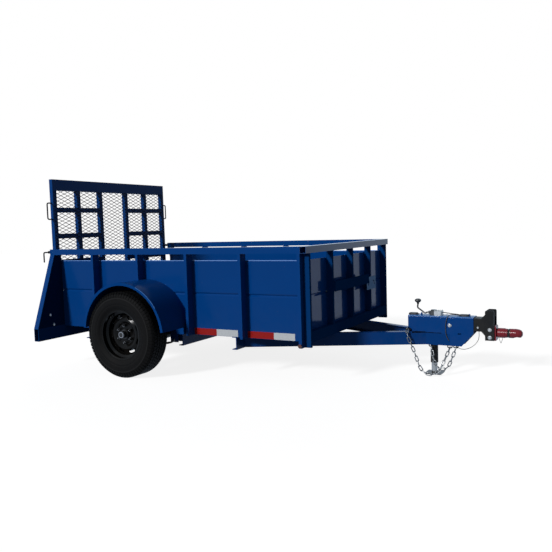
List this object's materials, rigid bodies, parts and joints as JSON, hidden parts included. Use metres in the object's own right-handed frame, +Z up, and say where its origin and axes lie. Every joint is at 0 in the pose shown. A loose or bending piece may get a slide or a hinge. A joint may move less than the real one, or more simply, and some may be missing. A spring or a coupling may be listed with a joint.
{
  "type": "utility trailer",
  "caption": "Single-axle utility trailer with steel sides, a rear lattice ramp gate, an A-frame tongue with surge coupler, and a tongue jack.",
  "frame": {"origin": "on the floor, in the middle of the overall length and width", "axes": "+X forward to the coupler, +Y to the trailer's left side, +Z up"},
  "size_m": [3.917, 2.22, 1.65],
  "materials": {
    "blue_paint": "gloss powder coat",
    "black_paint": "satin black paint",
    "wheel_black": "gloss black paint",
    "deck_wood": "treated, weathered",
    "amber_lens": "clear amber lens",
    "red_lens": "clear red lens",
    "red_paint": "gloss red powder coat",
    "zinc": "zinc plated",
    "tape_red": "reflective red film",
    "tape_white": "reflective white film",
    "mesh_steel": "painted expanded steel",
    "tyre_rubber": "black rubber",
    "black_rubber": "black moulded rubber",
    "steel_cable": "stranded steel"
  },
  "bodies": {
    "chassis": {"crossmembers": "blue_paint", "side_sills": "blue_paint", "front_sill": "blue_paint", "rear_beam": "blue_paint", "tongue_beams": "blue_paint", "deck_planks": "deck_wood", "side_panels": "blue_paint", "front_panel": "blue_paint", "side_posts": "blue_paint", "front_posts": "blue_paint", "side_rails": "blue_paint", "front_rail": "blue_paint", "rear_braces": "blue_paint", "rear_gussets": "blue_paint", "fenders": "blue_paint", "axle": "black_paint", "brake_backings": "black_paint", "leaf_springs": "black_paint", "spring_hangers": "blue_paint", "marker_lamps": "amber_lens", "tail_lamps": "red_lens", "spare_carrier": "blue_paint", "actuator_case": "blue_paint", "actuator_slide": "black_paint", "coupler_head": "red_paint", "coupler_collar": "red_paint", "jack_tube": "black_paint", "jack_head": "zinc", "jack_crank": "zinc", "tape_red": "tape_red", "tape_white": "tape_white", "hinges_frame": "blue_paint", "spring_clamps": "zinc", "case_caps": "black_rubber", "safety_chains": "zinc", "chain_eyes": "black_paint", "breakaway_cable": "steel_cable", "brake_lead": "black_rubber", "gate_latches": "black_paint"},
    "wheel_right": {"tyre_right": "tyre_rubber", "rim_right": "wheel_black", "hub_right": "wheel_black"},
    "wheel_left": {"tyre_left": "tyre_rubber", "rim_left": "wheel_black", "hub_left": "wheel_black"},
    "gate": {"gate_frame": "blue_paint", "gate_mesh": "mesh_steel", "gate_handles": "blue_paint", "hinges_gate": "blue_paint"},
    "jack_leg": {"jack_leg": "zinc"}
  },
  "joints": [
    {"name": "wheel_right_spin", "type": "hinge", "parent": "chassis", "child": "wheel_right", "pos_m": [-0.8945, -1.0025, 0.345], "axis": [0, 1, 0], "continuous": true},
    {"name": "wheel_left_spin", "type": "hinge", "parent": "chassis", "child": "wheel_left", "pos_m": [-0.8945, 1.0025, 0.345], "axis": [0, 1, 0], "continuous": true},
    {"name": "gate_hinge", "type": "hinge", "parent": "chassis", "child": "gate", "pos_m": [-1.9425, 0, 0.302], "axis": [0, -1, 0], "range_deg": [0, 102]},
    {"name": "jack_slide", "type": "slide", "parent": "chassis", "child": "jack_leg", "axis": [0, 0, 1], "range_m": [-0.17, 0.074]}
  ]
}
